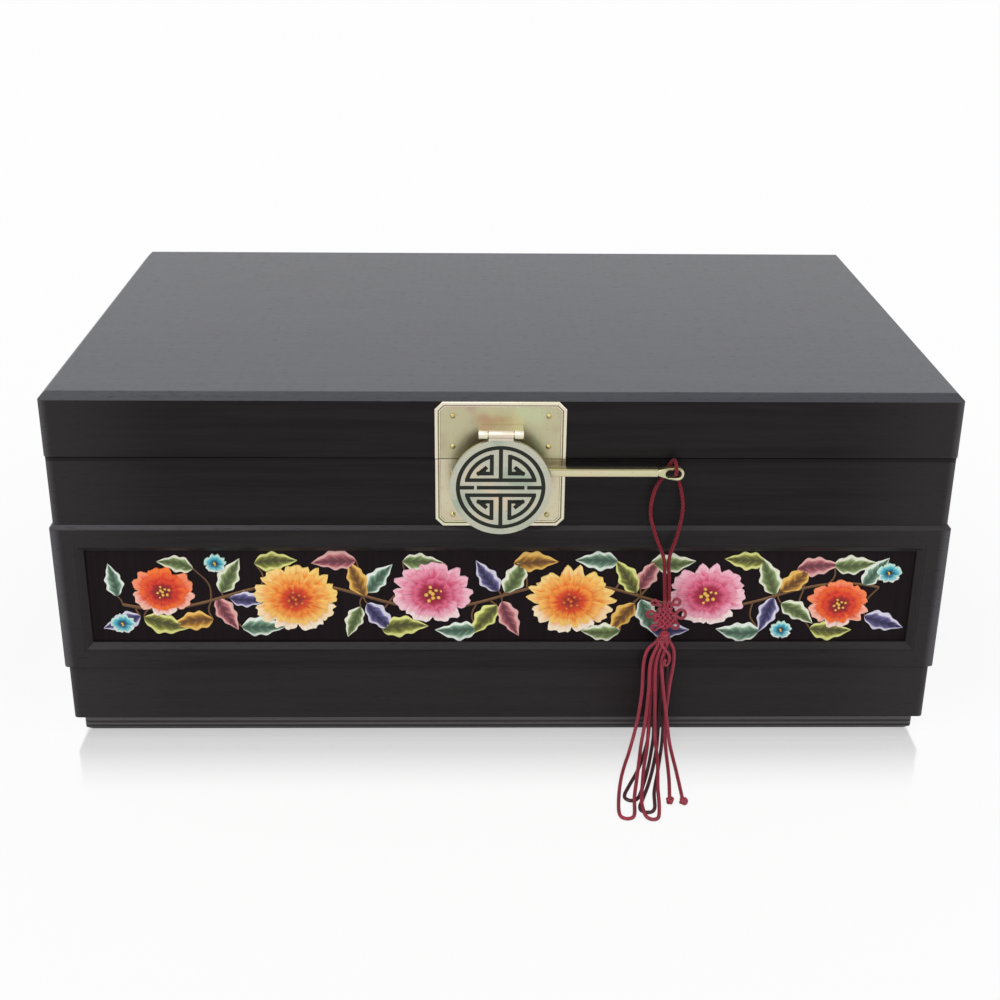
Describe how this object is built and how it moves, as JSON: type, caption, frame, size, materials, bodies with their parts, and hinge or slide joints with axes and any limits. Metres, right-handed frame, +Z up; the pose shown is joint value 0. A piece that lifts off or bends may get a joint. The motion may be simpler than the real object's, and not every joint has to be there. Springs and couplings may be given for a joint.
{
  "type": "keepsake box",
  "caption": "Lidded wooden keepsake box with an embroidered silk panel in its front belt, a round hasp over a split lock plate, a sliding lock pin and a knotted cord tassel.",
  "frame": {"origin": "centre of the underside of the plinth, on the surface that the box stands on", "axes": "+Z up, the front with the lock and the embroidery faces -Y, +X towards the free end of the lock pin"},
  "size_m": [0.362, 0.2914, 0.1535],
  "materials": {
    "dark_wood": "near-black brown hardwood with fine level grain under satin lacquer",
    "lid_wood": "near-black hardwood board under satin lacquer that mirrors a pale room softly",
    "belt_wood": "near-black brown hardwood, slightly lighter, satin lacquer",
    "plywood": "plain plywood, unfinished",
    "silk": "aubergine-black plain woven silk",
    "stem_thread": "brown silk stem stitch",
    "leaf_thread": "green, cream, lilac and ochre silk satin stitch",
    "flower_thread": "orange, pink and red silk satin stitch",
    "lining": "dark red velvet lining",
    "mirror_glass": "clear mirror glass",
    "plate_metal": "pale champagne nickel brass, finely brushed, with a bright rim",
    "nail_brass": "pale brass nail heads",
    "disc_metal": "pewter grey white metal, satin",
    "inlay": "green-black enamel let into the disc",
    "pin_brass": "pale gold brass, polished on its flats",
    "hinge_brass": "yellow brass, satin",
    "cord": "burgundy silk knotting cord"
  },
  "bodies": {
    "case": {"plinth": "dark_wood", "case_floor": "plywood", "case_front": "dark_wood", "case_back": "dark_wood", "case_left": "dark_wood", "case_right": "dark_wood", "belt_top_rail": "belt_wood", "belt_bottom_rail": "belt_wood", "belt_stile_left": "belt_wood", "belt_stile_right": "belt_wood", "belt_left": "belt_wood", "belt_right": "belt_wood", "belt_back": "belt_wood", "window_moulding": "belt_wood", "silk_panel": "silk", "embroidered_stems": "stem_thread", "embroidered_leaves": "leaf_thread", "embroidered_flowers": "flower_thread", "liner_front": "lining", "liner_back": "lining", "liner_left": "lining", "liner_right": "lining", "floor_pad": "lining", "lock_plate_lower": "plate_metal", "plate_nails_lower": "nail_brass", "staple_left": "plate_metal", "staple_right": "plate_metal", "hinge_leaves_case": "hinge_brass", "hinge_pins": "hinge_brass", "hinge_screws_case": "hinge_brass"},
    "lid": {"lid_top": "lid_wood", "lid_front": "dark_wood", "lid_back": "dark_wood", "lid_left": "dark_wood", "lid_right": "dark_wood", "lid_lining": "lining", "lid_mirror": "mirror_glass", "lock_plate_upper": "plate_metal", "plate_nails_upper": "nail_brass", "hasp_knuckles": "plate_metal", "hasp_hinge_pin": "plate_metal", "hinge_leaves_lid": "hinge_brass", "hinge_screws_lid": "hinge_brass"},
    "hasp": {"hasp_disc": "disc_metal", "hasp_inlay": "inlay", "hasp_lug": "disc_metal"},
    "pin": {"lock_pin": "pin_brass", "hanging_loop": "cord", "strand_loop_outer": "cord", "strand_loop_front": "cord", "strand_loop_rear": "cord", "strand_loop_inner": "cord", "strand_end_left": "cord", "strand_end_right": "cord", "mystic_knot": "cord", "tassel_hitch": "cord", "end_knot_left": "cord", "end_knot_right": "cord"}
  },
  "joints": [
    {"name": "lid_hinge", "type": "hinge", "parent": "case", "child": "lid", "pos_m": [0, 0.11415, 0.1269], "axis": [-1, 0, 0], "range_deg": [0, 95]},
    {"name": "hasp_hinge", "type": "hinge", "parent": "lid", "child": "hasp", "pos_m": [-0.0012, -0.1208, 0.1404], "axis": [-1, 0, 0], "range_deg": [0, 150]},
    {"name": "lock_pin_slide", "type": "slide", "parent": "case", "child": "pin", "axis": [1, 0, 0], "range_m": [-0.019, 0.007]}
  ]
}
